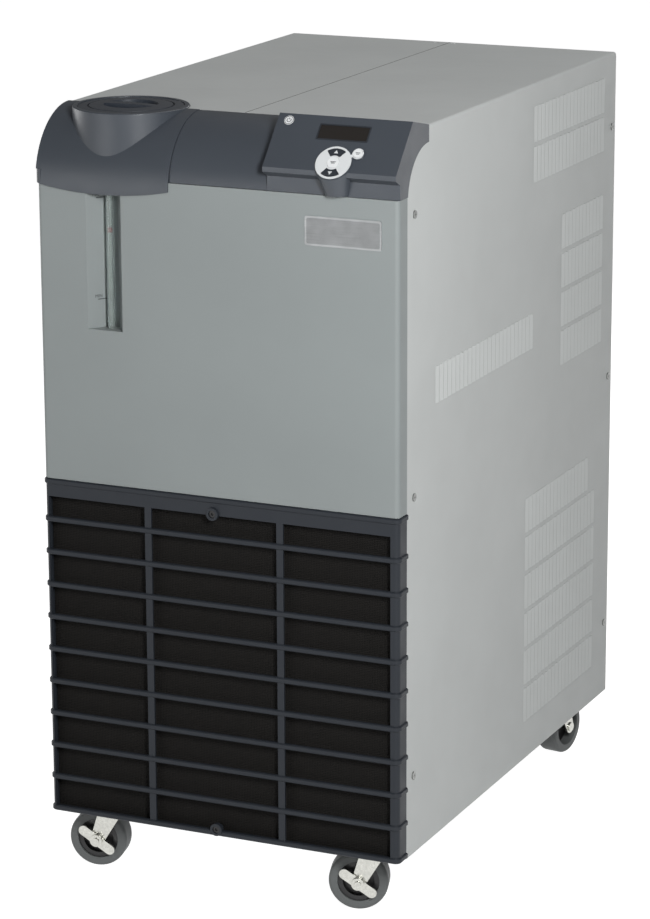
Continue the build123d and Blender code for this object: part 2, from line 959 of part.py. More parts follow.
with BuildPart() as grille_fasteners:
    post(front_view(grille_wall / 2), grille_screws, grille_head_radius, grille_wall)
    shank_end = frame_front + frame_sheet
    post(front_view(shank_end), grille_screws, grille_screw_radius, shank_end - grille_wall / 2)
    with BuildSketch(front_view(-grille_wall / 2)):
        with Locations(*grille_screws):
            RegularPolygon(2.3, 6)
    extrude(amount=-2, mode=Mode.SUBTRACT)
save(grille_fasteners.part, "grille_screws")

filter_bottom = grille_bottom + grille_wall
with BuildPart() as air_filter:
    block(
        (fit_gap + grille_wall - half_width, half_width - grille_wall - fit_gap),
        (front_depth - filter_thickness, front_depth),
        (filter_bottom, filter_bottom + filter_height),
    )
    post(
        front_view(front_depth),
        grille_screws,
        grille_screw_radius + 1,
        filter_thickness,
        Mode.SUBTRACT,
    )
save(air_filter.part, "air_filter")

# Welded chassis: base pan, corner posts and middle deck
with BuildPart() as chassis:
    plan = ((-frame_half, frame_half), (frame_front, frame_back))
    for bottom in (pan_height, deck_height):
        block(*plan, (bottom, bottom + frame_sheet))
    for side in (-1, 1):
        inner = sorted((side * (frame_half - frame_sheet), side * frame_half))
        block(inner, plan[1], (pan_height - pan_flange, pan_height))
        outer = sorted((side * frame_half, side * inner_half))
        corner = sorted((side * (inner_half - post_leg), side * inner_half))
        for outer_end in (front_depth, cabinet_depth - sheet):
            inwards = 1 if outer_end == front_depth else -1
            leg = sorted((outer_end, outer_end + inwards * post_leg))
            face = sorted((outer_end, outer_end + inwards * frame_sheet))
            block(outer, leg, (pan_height - pan_flange, post_top))
            block(corner, face, (pan_height - pan_flange, post_top))
    for setback in (frame_front, frame_back - frame_sheet):
        strip = (setback, setback + frame_sheet)
        block(plan[0], strip, (pan_height - pan_flange, pan_height))
    block(plan[0], (frame_front, frame_front + frame_sheet), (deck_height - deck_flange, deck_height))
    # Stand for the reservoir
    stand = (tank_setback + 8, tank_back - 2)
    block((tank_left, tank_right), stand, (deck_top, tank_bottom))
    block(
        (tank_left + frame_sheet, tank_right - frame_sheet),
        stand,
        (deck_top, tank_bottom - frame_sheet),
        Mode.SUBTRACT,
    )
    # Holes for hoses, pipes and screws
    post(
        top_view(deck_top),
        [(pump_x, tank_middle)],
        hose_radius + hole_clearance,
        tank_bottom - deck_top,
        Mode.SUBTRACT,
    )
    post(
        top_view(deck_height),
        [(pump_x, suction_back), (pump_x, pump_middle)],
        hose_radius + hole_clearance,
        frame_sheet,
        Mode.SUBTRACT,
    )
    post(
        top_view(deck_height),
        [(suction_x, suction_setback), (side_run, liquid_setback)],
        pipe_radius + hole_clearance,
        frame_sheet,
        Mode.SUBTRACT,
    )
    post(
        side_view(-half_width),
        list(side_screws()),
        screw_radius + running_gap,
        cabinet_width,
        Mode.SUBTRACT,
    )
    post(
        front_view(cabinet_depth),
        list(rear_screws()),
        screw_radius + running_gap,
        frame_sheet + sheet,
        Mode.SUBTRACT,
    )
    post(
        front_view(frame_front + frame_sheet),
        grille_screws,
        grille_screw_radius + running_gap,
        frame_sheet,
        Mode.SUBTRACT,
    )
save(chassis.part, "chassis")

with BuildPart() as panel_fasteners:
    for side in (-1, 1):
        plane = side_view(side * half_width)
        post(plane, list(side_screws()), screw_head, side * screw_head_height)
        post(plane, list(side_screws()), screw_radius, -side * screw_length)
    post(front_view(cabinet_depth), list(rear_screws()), screw_head, -screw_head_height)
    post(front_view(cabinet_depth), list(rear_screws()), screw_radius, screw_length)
save(panel_fasteners.part, "panel_screws")

# Condenser, fan and shroud behind the grille
with BuildPart() as condenser:
    block((-coil_half_width, coil_half_width), (coil_setback, coil_back), (pan_top, coil_top))
save(condenser.part, "condenser")

fan_place = [(0, fan_height)]
with BuildPart() as fan_shroud:
    block((-coil_half_width, coil_half_width), (coil_back, shroud_back), (pan_top, coil_top))
    block(
        (frame_sheet - coil_half_width, coil_half_width - frame_sheet),
        (coil_back, shroud_back - frame_sheet),
        (pan_top + frame_sheet, coil_top - frame_sheet),
        Mode.SUBTRACT,
    )
    post(front_view(shroud_back), fan_place, fan_hole, frame_sheet, Mode.SUBTRACT)
save(fan_shroud.part, "fan_shroud")

with BuildPart() as fan_motor:
    motor_back = motor_setback + motor_length
    post(front_view(motor_back), fan_place, motor_radius, motor_length)
    post(front_view(motor_setback), fan_place, shaft_radius, motor_setback - fan_setback + 2)
    arm_back = motor_setback + arm_thickness
    for turn in (0, 90):
        with BuildSketch(front_view(arm_back)) as arms:
            with Locations(*fan_place):
                Rectangle(2 * arm_reach, arm_width, rotation=turn)
                Circle(motor_radius - 1, mode=Mode.SUBTRACT)
        extrude(arms.sketch, amount=arm_thickness)
        with BuildSketch(front_view(arm_back)) as legs:
            with Locations(*fan_place):
                Rectangle(2 * arm_reach, arm_width, rotation=turn)
                Rectangle(2 * arm_reach - 12, 2 * arm_reach - 12, mode=Mode.SUBTRACT)
        extrude(legs.sketch, amount=arm_back - shroud_back)
save(fan_motor.part, "fan_motor")

with BuildPart() as fan_blades:
    post(front_view(fan_setback + fan_depth), fan_place, fan_hub, fan_depth)
    for index in range(fan_blade_count):
        angle = radians(index * 360 / fan_blade_count)
        root = Plane(
            (0, front_y + fan_setback + fan_depth / 2, ground_clearance + fan_height),
            (0, 1, 0),
            (cos(angle), 0, sin(angle)),
        )
        with BuildSketch(root.offset(fan_hub - 5)) as low:
            Rectangle(34, 3, rotation=fan_blade_pitch + 20)
        with BuildSketch(root.offset(fan_radius)) as high:
            Rectangle(62, 2.5, rotation=fan_blade_pitch + 35)
        loft([low.sketch, high.sketch])
    post(
        front_view(fan_setback + fan_depth),
        fan_place,
        shaft_radius + running_gap,
        fan_depth,
        Mode.SUBTRACT,
    )
save(fan_blades.part, "fan_blades")

# Compressor on rubber mounts
mount_places = [
    (compressor_x + dx, compressor_setback + dy)
    for dx in (-mount_spread[0], mount_spread[0])
    for dy in (-mount_spread[1], mount_spread[1])
]
with BuildPart() as compressor:
    place = [(compressor_x, compressor_setback)]
    shell_bottom = compressor_bottom + compressor_foot
    post(top_view(shell_bottom), place, compressor_radius, compressor_top - shell_bottom)
    fillet(compressor.edges().group_by(Axis.Z)[-1], 25)
    with BuildSketch(top_view(compressor_bottom)):
        with Locations(*place):
            Rectangle(2 * (mount_spread[0] + mount_radius), 2 * (mount_spread[1] + mount_radius))
    extrude(amount=compressor_foot)
save(compressor.part, "compressor")

with BuildPart() as compressor_mounts:
    post(top_view(pan_top), mount_places, mount_radius, compressor_bottom - pan_top)
save(compressor_mounts.part, "compressor_mounts")

with BuildPart() as evaporator:
    block(
        (evaporator_left, evaporator_right),
        (evaporator_front, evaporator_back),
        (deck_top, evaporator_top),
    )
save(evaporator.part, "evaporator")

# Refrigerant pipes
with BuildPart() as suction_pipe:
    tube(
        [
            (evaporator_left, suction_setback, 480),
            (suction_x, suction_setback, 480),
            (suction_x, suction_setback, 300),
            (suction_x, compressor_setback, 300),
            (compressor_left, compressor_setback, 300),
        ],
        pipe_radius,
        pipe_bend,
    )
save(suction_pipe.part, "suction_pipe")

with BuildPart() as discharge_pipe:
    tube(
        [
            (compressor_x, compressor_setback, compressor_top),
            (compressor_x, compressor_setback, compressor_top + 20),
            (side_run, compressor_setback, compressor_top + 20),
            (side_run, coil_setback + 15, compressor_top + 20),
            (coil_half_width, coil_setback + 15, compressor_top + 20),
        ],
        pipe_radius,
        pipe_bend,
    )
save(discharge_pipe.part, "discharge_pipe")

with BuildPart() as liquid_pipe:
    tube(
        [
            (coil_half_width, coil_setback + 15, 60),
            (side_run, coil_setback + 15, 60),
            (side_run, liquid_setback, 60),
            (side_run, liquid_setback, 480),
            (evaporator_right, liquid_setback, 480),
        ],
        pipe_radius,
        pipe_bend,
    )
save(liquid_pipe.part, "liquid_pipe")

# Pump, its motor and the coolant hoses
pump_place = [(pump_x, pump_height)]
with BuildPart() as pump:
    post(front_view(pump_back), pump_place, pump_radius, pump_length)
    post(front_view(pump_front), pump_place, pump_port, 20)
    post(
        top_view(pump_height),
        [(pump_x, pump_front + pump_length / 2)],
        pump_port,
        pump_radius + 15,
    )
save(pump.part, "pump")

with BuildPart() as pump_motor:
    post(
        front_view(pump_back + pump_motor_length),
        pump_place,
        pump_motor_radius,
        pump_motor_length,
    )
    block(
        (pump_x - 40, pump_x + 40),
        (pump_back + 30, pump_back + pump_motor_length - 30),
        (pan_top, pump_height - 20),
    )
save(pump_motor.part, "pump_motor")

with BuildPart() as coolant_hoses:
    tube(
        [
            (pump_x, pump_front - 20, pump_height),
            (pump_x, suction_back, pump_height),
            (pump_x, suction_back, 530),
            (pump_x, tank_middle, 530),
            (pump_x, tank_middle, tank_bottom),
        ],
        hose_radius,
        hose_bend,
    )
    tube(
        [
            (pump_x, pump_middle, pump_outlet),
            (pump_x, pump_middle, 520),
            (compressor_x, pump_middle, 520),
            (compressor_x, evaporator_front, 520),
        ],
        hose_radius,
        hose_bend,
    )
    tube(
        [
            (outlet_x, evaporator_back, 700),
            (outlet_x, evaporator_back + 50, 700),
            (outlet_x, evaporator_back + 50, port_height),
            (outlet_x, port_inner, port_height),
        ],
        hose_radius,
        hose_bend - 5,
    )
    tube(
        [
            (inlet_x, port_inner, port_height),
            (inlet_x, port_inner - 40, port_height),
            (inlet_x, port_inner - 40, 700),
            (tank_right - 30, port_inner - 40, 700),
            (tank_right - 30, tank_back, 700),
        ],
        hose_radius,
        hose_bend,
    )
save(coolant_hoses.part, "coolant_hoses")

with BuildPart() as electrical_box:
    block((60, 228), (40, 220), (deck_top, 760))
save(electrical_box.part, "electrical_box")


# Rear connections
def process_port(x):
    """Threaded hose connection that stands out of the rear panel."""
    place = [(x, port_height)]
    back = cabinet_depth + port_reach
    with BuildPart() as port:
        post(front_view(back), place, port_bore + port_wall, 2 * port_reach)
        with BuildSketch(front_view(cabinet_depth)):
            with Locations(*place):
                RegularPolygon(port_hex, 6, major_radius=False)
        extrude(amount=-port_hex_depth)
        post(front_view(back), place, port_bore, port_reach - 2, Mode.SUBTRACT)
    return port.part


save(process_port(outlet_x), "process_outlet")
save(process_port(inlet_x), "process_inlet")

gland_place = [(gland_x, port_height)]
with BuildPart() as cable_gland:
    post(front_view(cabinet_depth + gland_depth), gland_place, gland_radius, gland_depth + 10)
    for back, depth in ((cabinet_depth + 8, 8), (cabinet_depth - sheet, 5)):
        with BuildSketch(front_view(back)):
            with Locations(*gland_place):
                RegularPolygon(gland_hex, 6, major_radius=False)
        extrude(amount=depth)
    post(
        front_view(cabinet_depth + gland_depth),
        gland_place,
        gland_radius / 2,
        gland_depth + 10,
        Mode.SUBTRACT,
    )
save(cable_gland.part, "cable_gland")

breaker_back = cabinet_depth + breaker_proud
pivot_setback = breaker_back - rocker_setback
with BuildPart() as breaker_body:
    with BuildSketch(front_view(cabinet_depth)):
        with Locations((breaker_x, port_height)):
            Rectangle(breaker_width, breaker_height)
    extrude(amount=breaker_depth)
    with BuildSketch(front_view(breaker_back)):
        with Locations((breaker_x, port_height)):
            Rectangle(breaker_width + 2 * breaker_flange, breaker_height + 2 * breaker_flange)
    extrude(amount=breaker_proud)
    with BuildSketch(front_view(breaker_back)):
        with Locations((breaker_x, port_height)):
            Rectangle(rocker_width + 2 * fit_gap, rocker_height + 3)
    extrude(amount=breaker_depth / 3, mode=Mode.SUBTRACT)
    post(
        side_view(breaker_x - rocker_width / 2 - 2),
        [(pivot_setback, port_height)],
        rocker_pin + running_gap,
        rocker_width + 4,
        Mode.SUBTRACT,
    )
save(breaker_body.part, "breaker_body")

with BuildPart() as breaker_rocker:
    with BuildSketch(side_view(breaker_x - rocker_width / 2)):
        with Locations(Location((pivot_setback, port_height, 0), (0, 0, rocker_throw))):
            Polygon(
                (-3, -rocker_height / 2),
                (rocker_setback + 2.5, -rocker_height / 2),
                (rocker_setback + 0.8, 0),
                (rocker_setback + 2.5, rocker_height / 2),
                (-3, rocker_height / 2),
                align=None,
            )
    extrude(amount=rocker_width)
    post(
        side_view(breaker_x - rocker_width / 2 - 1.7),
        [(pivot_setback, port_height)],
        rocker_pin,
        rocker_width + 3.4,
    )
save(breaker_rocker.part, "breaker_rocker")

# Casters: shapes are built once, about the kingpin on the ground, and then set under each corner
with BuildPart() as swivel_plate:
    with BuildSketch(Plane.XY.offset(plate_bottom)):
        Rectangle(plate_length, plate_width)
        with GridLocations(2 * plate_bolt_x, 2 * plate_bolt_y, 2, 2):
            Circle(bolt_radius + fit_gap, mode=Mode.SUBTRACT)
    extrude(amount=plate_thickness)
    with BuildSketch(Plane.XY.offset(plate_bottom)):
        Circle(kingpin_radius)
    extrude(amount=crown_bottom - plate_bottom - fit_gap)
    with BuildSketch(Plane.XY.offset(crown_bottom - fit_gap)):
        Circle(kingpin_head)
    extrude(amount=-fork_sheet)


def axle_view(y):
    """Plane across the axle of the caster as built: local X along its turn, local Y upwards."""
    return Plane((-trail, y, axle_height), (1, 0, 0), (0, -1, 0))


def fork_shape(braked):
    outside = fork_gap + fork_sheet
    near_end = outside + fit_gap + lever_thickness + 5 if braked else outside + 2
    with BuildPart() as fork:
        with BuildSketch(Plane.XY.offset(crown_bottom)):
            Circle(raceway_radius)
        extrude(amount=plate_bottom - crown_bottom - fit_gap)
        with BuildSketch(Plane.XY.offset(crown_bottom)):
            span((-14, 22), (-outside, outside))
        extrude(amount=fork_sheet)
        for y in (outside, -fork_gap):
            rise = crown_bottom + fork_sheet - axle_height
            with BuildSketch(axle_view(y)):
                Circle(fork_boss)
                Polygon((-9, 0), (6, rise), (42, rise), (7.5, -5), align=None)
            extrude(amount=fork_sheet)
        with BuildSketch(axle_view(outside)):
            Circle(axle_radius)
        extrude(amount=outside + near_end)
        with BuildSketch(axle_view(outside + 2)):
            Circle(axle_head)
        extrude(amount=2)
        if not braked:
            with BuildSketch(axle_view(-outside)):
                Circle(axle_head)
            extrude(amount=2)
        with BuildSketch(Plane.XY.offset(crown_bottom)):
            Circle(kingpin_radius + running_gap)
        extrude(amount=plate_bottom - crown_bottom, mode=Mode.SUBTRACT)
    return fork.part


with BuildPart() as hub:
    with BuildSketch(Plane.XZ):
        boss_end = fork_gap - fit_gap
        face = wheel_width / 2 - 2.5
        with BuildLine():
            Polyline(
                (axle_radius + running_gap, 0),
                (axle_radius + running_gap, boss_end),
                (hub_boss, boss_end),
                (hub_boss, face - 4),
                (hub_face, face - 5),
                (hub_face, face),
                (hub_radius, face),
                (hub_radius, 0),
                close=True,
            )
        make_face()
        mirror(about=Plane.XZ.rotated((90, 0, 0)))
    revolve(axis=Axis.Z)

with BuildPart() as tyre:
    with BuildSketch(Plane.XZ):
        span((hub_radius + running_gap, wheel_radius), (-wheel_width / 2, wheel_width / 2))
        fillet(vertices().group_by(Axis.X)[-1], tyre_round)
    revolve(axis=Axis.Z)

lever_outer = fork_gap + fork_sheet + fit_gap
with BuildPart() as lever:
    with BuildSketch(axle_view(-lever_outer)):
        SlotOverall(lever_length, lever_width, rotation=lever_tilt)
    extrude(amount=lever_thickness)
    with BuildSketch(axle_view(-lever_outer)):
        Circle(lever_boss)
    extrude(amount=lever_thickness + 3)
    with BuildSketch(axle_view(-lever_outer)):
        Circle(axle_radius + running_gap)
    extrude(amount=lever_thickness + 3, mode=Mode.SUBTRACT)

plates = []
bolts = []
for corner, (turn, braked) in casters.items():
    x = -swivel_x if corner.endswith("left") else swivel_x
    setback = swivel_inset if corner.startswith("front") else cabinet_depth - swivel_inset
    base = Plane((x, front_y + setback, 0))
    turned = base.rotated((0, 0, turn))
    wheel = turned.location * Location((-trail, 0, axle_height), (90, 0, 0))
    plates.append(base.location * swivel_plate.part)
    save(turned.location * fork_shape(braked), f"fork_{corner}")
    save(wheel * hub.part, f"hub_{corner}")
    save(wheel * tyre.part, f"tyre_{corner}")
    if braked:
        save(turned.location * lever.part, f"brake_lever_{corner}")

save(Compound(children=plates), "caster_plates")

bolt_places = [
    (x + dx, setback + dy)
    for x in (-swivel_x, swivel_x)
    for setback in (swivel_inset, cabinet_depth - swivel_inset)
    for dx in (-plate_bolt_x, plate_bolt_x)
    for dy in (-plate_bolt_y, plate_bolt_y)
]
with BuildPart() as caster_bolts:
    under = plate_bottom - ground_clearance
    post(top_view(under), bolt_places, bolt_head, -bolt_head_height)
    post(top_view(under), bolt_places, bolt_radius, plate_thickness)
save(caster_bolts.part, "caster_bolts")
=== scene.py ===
import json
from math import atan2, cos, pi, radians, sin

import bpy
from mathutils import Matrix, Vector


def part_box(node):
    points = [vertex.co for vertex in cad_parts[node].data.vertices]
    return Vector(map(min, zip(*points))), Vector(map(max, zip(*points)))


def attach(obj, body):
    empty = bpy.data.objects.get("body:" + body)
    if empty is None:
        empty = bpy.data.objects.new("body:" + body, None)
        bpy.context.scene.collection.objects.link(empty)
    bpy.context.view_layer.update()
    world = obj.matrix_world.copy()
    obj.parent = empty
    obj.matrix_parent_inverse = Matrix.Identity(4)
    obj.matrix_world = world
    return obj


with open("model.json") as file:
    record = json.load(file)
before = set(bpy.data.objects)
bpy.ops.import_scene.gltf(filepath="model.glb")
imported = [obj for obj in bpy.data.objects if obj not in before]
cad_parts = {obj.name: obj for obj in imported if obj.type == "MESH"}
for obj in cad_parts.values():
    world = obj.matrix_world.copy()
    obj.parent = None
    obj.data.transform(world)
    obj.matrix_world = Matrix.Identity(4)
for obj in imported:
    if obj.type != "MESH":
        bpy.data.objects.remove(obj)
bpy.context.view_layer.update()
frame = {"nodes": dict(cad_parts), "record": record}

scene = bpy.context.scene
scene.view_settings.view_transform = "Standard"
nodes = frame["nodes"]

# Places in millimetres: x across, setback behind the front, height above the cabinet's lower edge
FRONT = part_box("front_panel")[0][1] * 1000
GROUND = 85
# The control panel's sloping face, from its foot to its top, each as setback and height
FOOT = (-12, 863)
TOP = (39, 920)
SLOPE = atan2(TOP[1] - FOOT[1], TOP[0] - FOOT[0])


def place(x, setback, height):
    return Vector((x, FRONT + setback, GROUND + height)) / 1000


def on_slope(x, rise, lift=0):
    """A point on the control panel's sloping face."""
    setback = FOOT[0] + rise * cos(SLOPE) - lift * sin(SLOPE)
    return place(x, setback, FOOT[1] + rise * sin(SLOPE) + lift * cos(SLOPE))


# Materials
def linear(red, green, blue):
    def one(value):
        value = value / 255
        return value / 12.92 if value <= 0.04045 else ((value + 0.055) / 1.055) ** 2.4

    return (one(red), one(green), one(blue), 1)


class Shader:
    """A small builder for procedural materials."""

    def __init__(self, name):
        self.material = bpy.data.materials.new(name)
        self.material.use_nodes = True
        self.tree = self.material.node_tree
        self.surface = self.tree.nodes["Principled BSDF"]
        self.coordinates = self.tree.nodes.new("ShaderNodeTexCoord").outputs["Object"]

    def node(self, kind, **settings):
        made = self.tree.nodes.new(kind)
        for key, value in settings.items():
            setattr(made, key, value)
        return made

    def link(self, source, target):
        self.tree.links.new(source, target)

    def stretched(self, scale):
        mapping = self.node("ShaderNodeMapping")
        mapping.inputs["Scale"].default_value = scale
        self.link(self.coordinates, mapping.inputs["Vector"])
        return mapping.outputs["Vector"]

    def noise(self, scale, detail=3, stretch=None):
        noise = self.node("ShaderNodeTexNoise")
        noise.inputs["Scale"].default_value = scale
        noise.inputs["Detail"].default_value = detail
        vector = self.stretched(stretch) if stretch else self.coordinates
        self.link(vector, noise.inputs["Vector"])
        return noise.outputs["Fac"]

    def ramp(self, fac, stops):
        ramp = self.node("ShaderNodeValToRGB")
        while len(ramp.color_ramp.elements) < len(stops):
            ramp.color_ramp.elements.new(0.5)
        for element, (position, colour) in zip(ramp.color_ramp.elements, stops):
            element.position = position
            element.color = colour
        self.link(fac, ramp.inputs["Fac"])
        return ramp.outputs["Color"]

    def colour_between(self, fac, low, high, start=0.3, end=0.7):
        self.link(self.ramp(fac, [(start, low), (end, high)]), self.surface.inputs["Base Color"])

    def roughness_between(self, fac, low, high):
        stops = [(0.3, (low, low, low, 1)), (0.7, (high, high, high, 1))]
        self.link(self.ramp(fac, stops), self.surface.inputs["Roughness"])

    def bump(self, fac, strength, distance=0.0003):
        bump = self.node("ShaderNodeBump")
        bump.inputs["Strength"].default_value = strength
        bump.inputs["Distance"].default_value = distance
        self.link(fac, bump.inputs["Height"])
        self.link(bump.outputs["Normal"], self.surface.inputs["Normal"])

    def set(self, **values):
        for key, value in values.items():
            self.surface.inputs[key.replace("_", " ")].default_value = value


def shade(colour, factor):
    return tuple(min(1, channel * factor) for channel in colour[:3]) + (1,)


def coated(name, colour, rough=0.42, grain=1800, depth=0.12, shine=0.5, spread=0.03):
    """Powder coat or moulded plastic: faint tone drift, fine grain and uneven gloss."""
    shader = Shader(name)
    shader.colour_between(shader.noise(6), shade(colour, 1 - spread), shade(colour, 1 + spread))
    shader.roughness_between(shader.noise(40), rough - 0.04, rough + 0.05)
    shader.bump(shader.noise(grain, 2), depth)
    shader.set(Specular_IOR_Level=shine)
    return shader.material


def metal(name, colour, rough=0.3, stretch=(60, 60, 4000), depth=0.1):
    """Plated or drawn metal with fine lines along one direction."""
    shader = Shader(name)
    lines = shader.noise(1, 4, stretch)
    shader.colour_between(lines, shade(colour, 0.86), shade(colour, 1.08))
    shader.roughness_between(shader.noise(90), rough - 0.07, rough + 0.1)
    shader.bump(lines, depth, 0.0001)
    shader.set(Metallic=1.0)
    return shader.material


def woven(name):
    """Open black filter cloth: crossed threads with dark gaps."""
    shader = Shader(name)
    separate = shader.node("ShaderNodeSeparateXYZ")
    shader.link(shader.coordinates, separate.inputs["Vector"])
    threads = []
    for axis in ("X", "Z"):
        scaled = shader.node("ShaderNodeMath", operation="MULTIPLY")
        scaled.inputs[1].default_value = 2 * pi / 0.0022
        shader.link(separate.outputs[axis], scaled.inputs[0])
        wave = shader.node("ShaderNodeMath", operation="SINE")
        shader.link(scaled.outputs[0], wave.inputs[0])
        threads.append(wave.outputs[0])
    most = shader.node("ShaderNodeMath", operation="MAXIMUM")
    shader.link(threads[0], most.inputs[0])
    shader.link(threads[1], most.inputs[1])
    shader.colour_between(most.outputs[0], linear(3, 3, 3), linear(30, 28, 26), 0.1, 0.95)
    shader.bump(most.outputs[0], 0.6, 0.0006)
    shader.set(Roughness=0.85, Specular_IOR_Level=0.2)
    return shader.material


def clear(name, colour):
    shader = Shader(name)
    shader.colour_between(shader.noise(30), shade(colour, 0.97), colour)
    shader.set(Roughness=0.06, IOR=1.46, Transmission_Weight=0.9)
    return shader.material


def finned(name):
    """Packed vertical fins of a heat exchanger."""
    shader = Shader(name)
    fins = shader.noise(1, 1, (900, 40, 2))
    shader.colour_between(fins, linear(70, 72, 74), linear(170, 172, 174), 0.4, 0.6)
    shader.bump(fins, 0.5, 0.0006)
    shader.set(Roughness=0.45, Metallic=0.7)
    return shader.material


DARK = linear(66, 71, 78)
side_paint = coated("side_paint", linear(204, 207, 206), 0.5, 1500, 0.1, 0.2)
front_paint = coated("front_paint", linear(140, 146, 146), 0.45, 1500, 0.1, 0.3)
head_plastic = coated("head_plastic", DARK, 0.36, 2200, 0.1)
grille_plastic = coated("grille_plastic", linear(36, 40, 46), 0.5, 2200, 0.12, 0.3)
cap_plastic = coated("cap_plastic", linear(52, 57, 65), 0.4, 2200, 0.12)
glass_dark = coated("glass_dark", linear(38, 35, 33), 0.12, 300, 0.01)
film_white = coated("film_white", linear(212, 215, 216), 0.45, 900, 0.04)
key_dark = coated("key_dark", linear(44, 48, 54), 0.45, 900, 0.05)
white_plastic = coated("white_plastic", linear(225, 227, 228), 0.4, 900, 0.04)
mark_dark = coated("mark_dark", linear(58, 62, 66), 0.5, 900, 0.04)
black_rubber = coated("black_rubber", linear(24, 24, 24), 0.65, 500, 0.25)
black_plastic = coated("black_plastic", linear(26, 26, 27), 0.38, 1500, 0.12)
tyre_grey = coated("tyre_grey", linear(96, 99, 99), 0.55, 700, 0.2)
red_float = coated("red_float", linear(120, 20, 18), 0.25, 900, 0.03)
tank_white = coated("tank_white", linear(216, 218, 210), 0.5, 500, 0.1)
motor_paint = coated("motor_paint", linear(60, 72, 84), 0.4, 900, 0.1)
box_paint = coated("box_paint", linear(176, 176, 170), 0.45, 900, 0.1)
# Black enamel for the enamelled parts, also used as the painted shade of the screw recess crosses
enamel_and_recess_shade = coated("enamel_and_recess_shade", linear(20, 20, 21), 0.3, 700, 0.06)
screw_zinc = metal("screw_zinc", linear(150, 152, 150), 0.35, (900, 900, 900), 0.05)
zinc = metal("zinc", linear(196, 196, 190), 0.26, (300, 300, 300), 0.08)
galvanised = metal("galvanised", linear(168, 171, 172), 0.45, (70, 70, 70), 0.1)
stainless = metal("stainless", linear(190, 190, 186), 0.28, (30, 30, 3000), 0.1)
copper = metal("copper", linear(190, 112, 78), 0.3, (200, 200, 200), 0.05)
bronze = metal("bronze", linear(160, 130, 84), 0.5, (90, 90, 90), 0.25)
badge_metal = metal("badge_metal", linear(160, 162, 163), 0.4, (20, 4000, 4000), 0.1)
badge_field = metal("badge_field", linear(140, 142, 143), 0.46, (20, 4000, 4000), 0.12)
clear_plastic = clear("clear_plastic", linear(226, 234, 232))
filter_cloth = woven("filter_cloth")
fins = finned("fins")

finishes = {
    "side_panel_paint": side_paint,
    "front_panel_paint": front_paint,
    "dark_plastic": head_plastic,
    "cap_plastic": cap_plastic,
    "display_glass": glass_dark,
    "keypad_film": film_white,
    "key_plastic": key_dark,
    "button_white": white_plastic,
    "clear_plastic": clear_plastic,
    "float_red": red_float,
    "black_rubber": black_rubber,
    "filter_foam": filter_cloth,
    "zinc_steel": zinc,
    "galvanised_sheet": galvanised,
    "grey_tyre": tyre_grey,
    "black_plastic": black_plastic,
    "aluminium_fins": fins,
    "black_enamel": enamel_and_recess_shade,
    "stainless": stainless,
    "copper": copper,
    "tank_plastic": tank_white,
    "motor_paint": motor_paint,
    "cast_bronze": bronze,
    "box_paint": box_paint,
}
slot_of = {part["node"]: part["material_slot"] for part in frame["record"]["subparts"]}
special = {
    "grille": grille_plastic,
    "enter_key": white_plastic,
    "cancel_key": white_plastic,
    "panel_screws": screw_zinc,
}
for name, node in nodes.items():
    material = special.get(name, finishes[slot_of[name]])
    if not node.material_slots:
        node.data.materials.append(material)
    for material_slot in node.material_slots:
        material_slot.material = material


# Pieces
def piece(name, vertices, faces, material, body):
    mesh = bpy.data.meshes.new(name)
    mesh.from_pydata([tuple(vertex) for vertex in vertices], [], faces)
    mesh.materials.append(material)
    made = bpy.data.objects.new(name, mesh)
    scene.collection.objects.link(made)
    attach(made, body)
    return made


def prism(name, outline, low, high, material, body, slot):
    """Outline points pushed from one lift to another by a function that places them."""
    count = len(outline)
    vertices = [low(*point) for point in outline] + [high(*point) for point in outline]
    faces = [tuple(range(count))[::-1], tuple(range(count, 2 * count))]
    for index in range(count):
        after = (index + 1) % count
        faces.append((index, after, after + count, index + count))
    return piece(name, vertices, faces, material, body)


def ring(name, centre, inner, outer, start, end, low, high, material, body, slot):
    """Part of a flat ring, in degrees from the right and counterclockwise."""
    steps = max(6, int(abs(end - start) / 8))
    angles = [radians(start + (end - start) * index / steps) for index in range(steps + 1)]
    outline = [(centre[0] + outer * cos(a), centre[1] + outer * sin(a)) for a in angles]
    outline += [(centre[0] + inner * cos(a), centre[1] + inner * sin(a)) for a in angles[::-1]]
    return prism(name, outline, low, high, material, body, slot)


def rounded(centre, width, height, radius, steps=5):
    outline = []
    for sx, sy, start in ((1, 1, 0), (-1, 1, 90), (-1, -1, 180), (1, -1, 270)):
        cx = centre[0] + sx * (width / 2 - radius)
        cy = centre[1] + sy * (height / 2 - radius)
        for index in range(steps + 1):
            a = radians(start + 90 * index / steps)
            outline.append((cx + radius * cos(a), cy + radius * sin(a)))
    return outline


def slope_at(lift):
    return lambda x, rise: on_slope(x, rise, lift)


def front_at(setback):
    return lambda x, height: place(x, setback, height)


# Bare plate where the front panel carries one
badge_centre = (170, 788)
badge_lift = -1.2
prism(
    "badge_rim", rounded(badge_centre, 100, 36, 3), front_at(0), front_at(badge_lift),
    badge_metal, "cabinet", "zinc_steel",
)
prism(
    "badge_field", rounded(badge_centre, 95, 31, 2), front_at(badge_lift), front_at(-1.35),
    badge_field, "cabinet", "zinc_steel",
)

# Painted shade: a thin dark strip along the joint of the two panels that meet on the top, standing
# in for the shadow in the gap between them
right_box, left_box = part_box("right_panel"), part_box("left_panel")
seam = (right_box[0][0] + left_box[1][0]) / 2
roof = right_box[1][2]
seam_shade_half = 0.0005
seam_margin = 0.002
seam_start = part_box("control_housing")[1][1] + seam_margin
seam_end = right_box[1][1] - seam_margin
seam_shade_outline = [
    (seam - seam_shade_half, seam_start), (seam + seam_shade_half, seam_start),
    (seam + seam_shade_half, seam_end), (seam - seam_shade_half, seam_end),
]
# The strip takes the black rubber material, but its darkness is painted shade for the gap, not a
# seal
prism(
    "top_seam_painted_shade", seam_shade_outline, lambda x, y: Vector((x, y, roof - 0.0002)),
    lambda x, y: Vector((x, y, roof + 0.00006)), black_rubber, "cabinet", "black_rubber",
)

